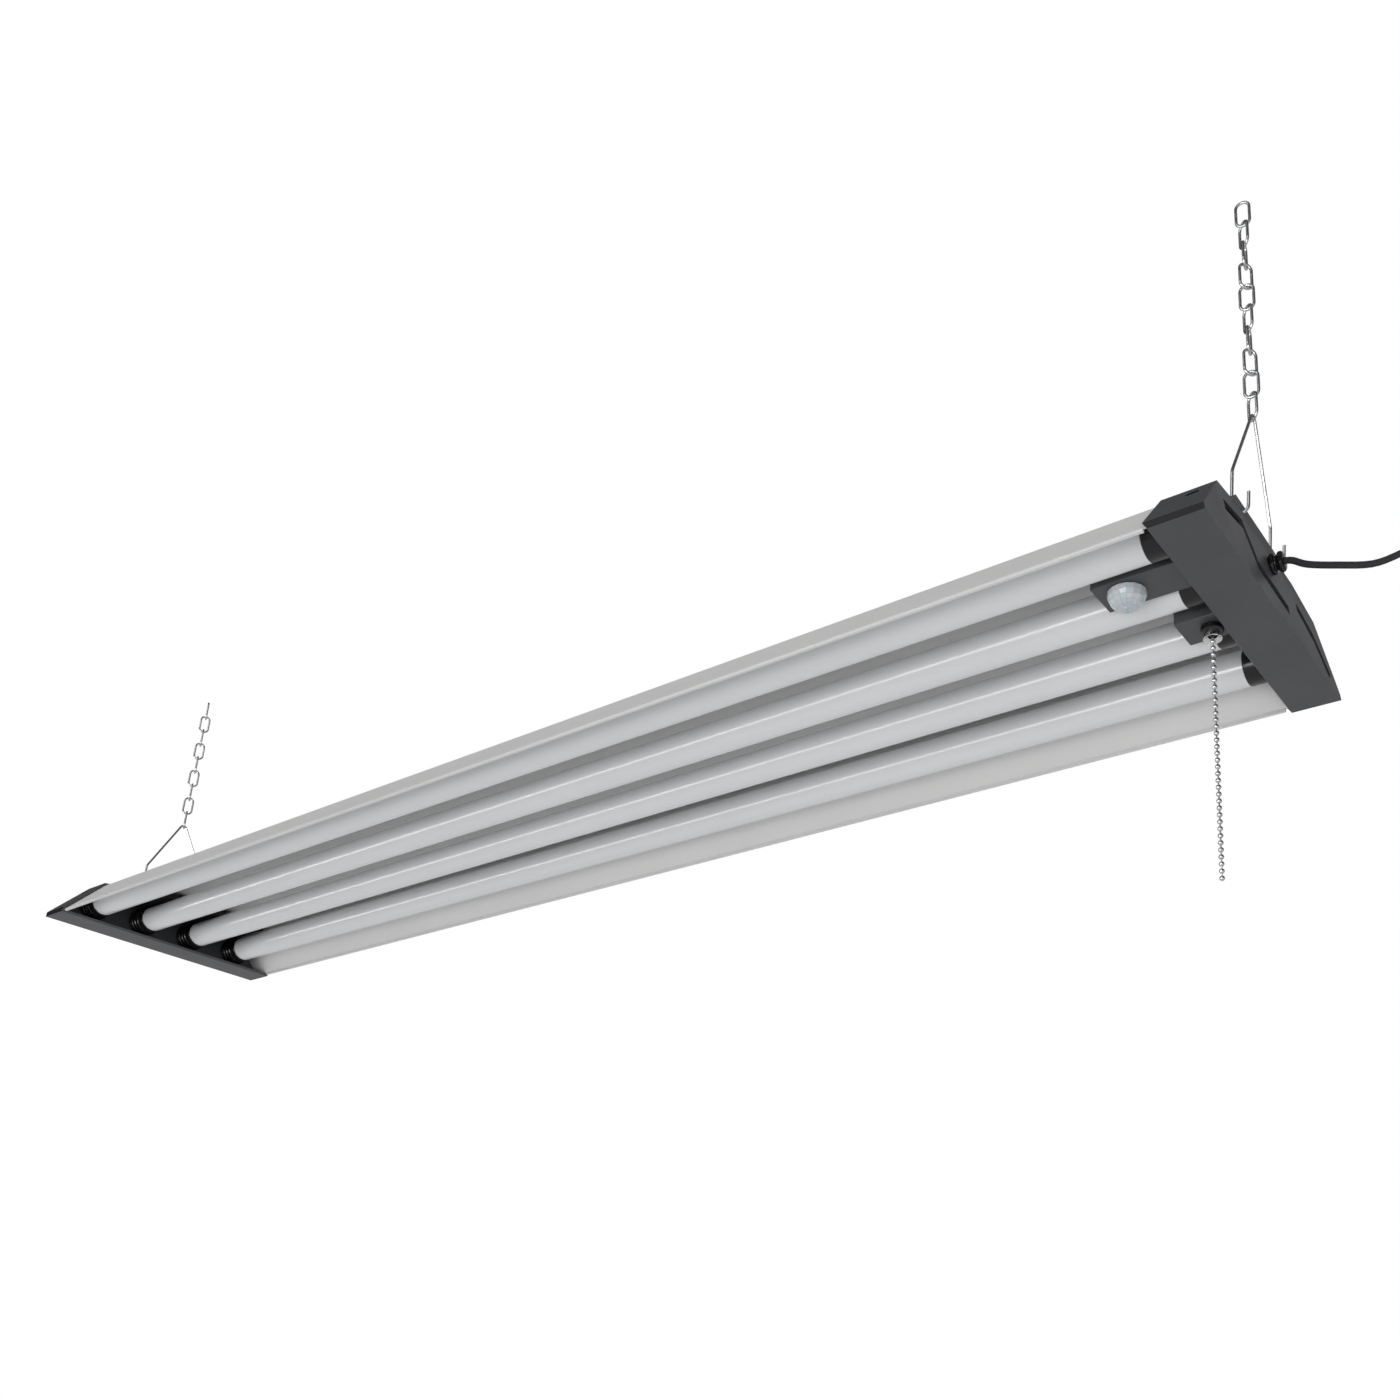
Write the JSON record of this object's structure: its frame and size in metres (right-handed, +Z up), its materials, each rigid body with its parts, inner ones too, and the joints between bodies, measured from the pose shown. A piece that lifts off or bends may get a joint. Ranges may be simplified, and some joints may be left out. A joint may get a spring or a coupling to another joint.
{
  "type": "hanging shop light",
  "caption": "Hanging tube shop light with reflector, end caps, movement sensor, pull chain, link-chain hangers and cord.",
  "frame": {"origin": "midway between the two ceiling hooks, at their mean height", "axes": "+X along the fixture towards the cord end, -Y the sensor side, +Z up"},
  "size_m": [1.382, 0.23, 0.4727],
  "materials": {
    "white_sheet": "satin white enamel",
    "driver_case": "plain",
    "wire": "insulated wire",
    "cap_plastic": "fine grained charcoal",
    "screw_steel": "zinc plated",
    "tube_white": "opal",
    "black_plastic": "gloss black",
    "board": "plain",
    "lamp": "lamp",
    "dome": "translucent lens",
    "can": "plain",
    "sensor_board": "board",
    "chrome": "polished",
    "zinc": "zinc plated wire",
    "cord_jacket": "gloss black",
    "tie": "plain",
    "blade_brass": "plain"
  },
  "bodies": {
    "ceiling_links": {"top_link_left": "zinc", "top_link_right": "zinc"},
    "upper_links": {"upper_link_left": "zinc", "upper_link_right": "zinc"},
    "right_suspension": {"chain_right": "zinc", "hanger_right": "zinc"},
    "left_suspension": {"chain_left": "zinc", "hanger_left": "zinc"},
    "fixture": {"housing": "white_sheet", "top_channel": "white_sheet", "driver": "driver_case", "supply_wires": "wire", "lamp_wires": "wire", "end_cap_left": "cap_plastic", "end_cap_right": "cap_plastic", "sensor_plate": "cap_plastic", "switch_housing": "cap_plastic", "cap_screws_left": "screw_steel", "cap_screws_right": "screw_steel", "tube_1": "tube_white", "tube_2": "tube_white", "tube_3": "tube_white", "tube_4": "tube_white", "socket_left_1": "black_plastic", "socket_left_2": "black_plastic", "socket_left_3": "black_plastic", "socket_left_4": "black_plastic", "socket_right_1": "black_plastic", "socket_right_2": "black_plastic", "socket_right_3": "black_plastic", "socket_right_4": "black_plastic", "base_cover_left": "black_plastic", "switch_body": "black_plastic", "switch_nut": "black_plastic", "strain_relief": "black_plastic", "plug_body": "black_plastic", "led_board_1": "board", "led_board_2": "board", "led_board_3": "board", "led_board_4": "board", "led_row_1": "lamp", "led_row_2": "lamp", "led_row_3": "lamp", "led_row_4": "lamp", "sensor_dome": "dome", "sensor_can": "can", "sensor_board": "sensor_board", "switch_bell": "chrome", "cord": "cord_jacket", "cord_coil": "cord_jacket", "cord_tie": "tie", "plug_blades": "blade_brass"},
    "pull_actuator": {"switch_actuator": "can"},
    "pull_coupler": {"chain_coupler": "zinc"},
    "pull_chain": {"bead_chain": "zinc"}
  },
  "joints": [
    {"name": "cross_swing", "type": "hinge", "parent": "ceiling_links", "child": "upper_links", "pos_m": [0, 0, -0.01695], "axis": [0.9999, 0, 0.014], "range_deg": [-12, 12]},
    {"name": "right_sway", "type": "hinge", "parent": "upper_links", "child": "right_suspension", "pos_m": [0.6, 0, -0.02535], "axis": [0, 1, 0], "range_deg": [-10, 10]},
    {"name": "fixture_level", "type": "hinge", "parent": "right_suspension", "child": "fixture", "pos_m": [0.6, 0, -0.2471], "axis": [0, 1, 0], "range_deg": [-10, 10]},
    {"name": "left_sway", "type": "hinge", "parent": "upper_links", "child": "left_suspension", "pos_m": [-0.6, 0, -0.04215], "axis": [0, 1, 0], "range_deg": [-11, 11]},
    {"name": "pull_switch", "type": "slide", "parent": "fixture", "child": "pull_actuator", "axis": [0, 0, -1], "range_m": [0, 0.006], "stiffness_N_per_m": 400},
    {"name": "pull_swing_along", "type": "hinge", "parent": "pull_actuator", "child": "pull_coupler", "pos_m": [0.569, 0, -0.30678], "axis": [0, 1, 0], "range_deg": [-25, 25]},
    {"name": "pull_swing_across", "type": "hinge", "parent": "pull_coupler", "child": "pull_chain", "pos_m": [0.569, 0, -0.30678], "axis": [1, 0, 0], "range_deg": [-25, 25]}
  ],
  "couplings": [
    {"joint": "right_sway", "follows": "fixture_level", "ratio": -1},
    {"joint": "left_sway", "follows": "fixture_level", "ratio": -1.082}
  ]
}
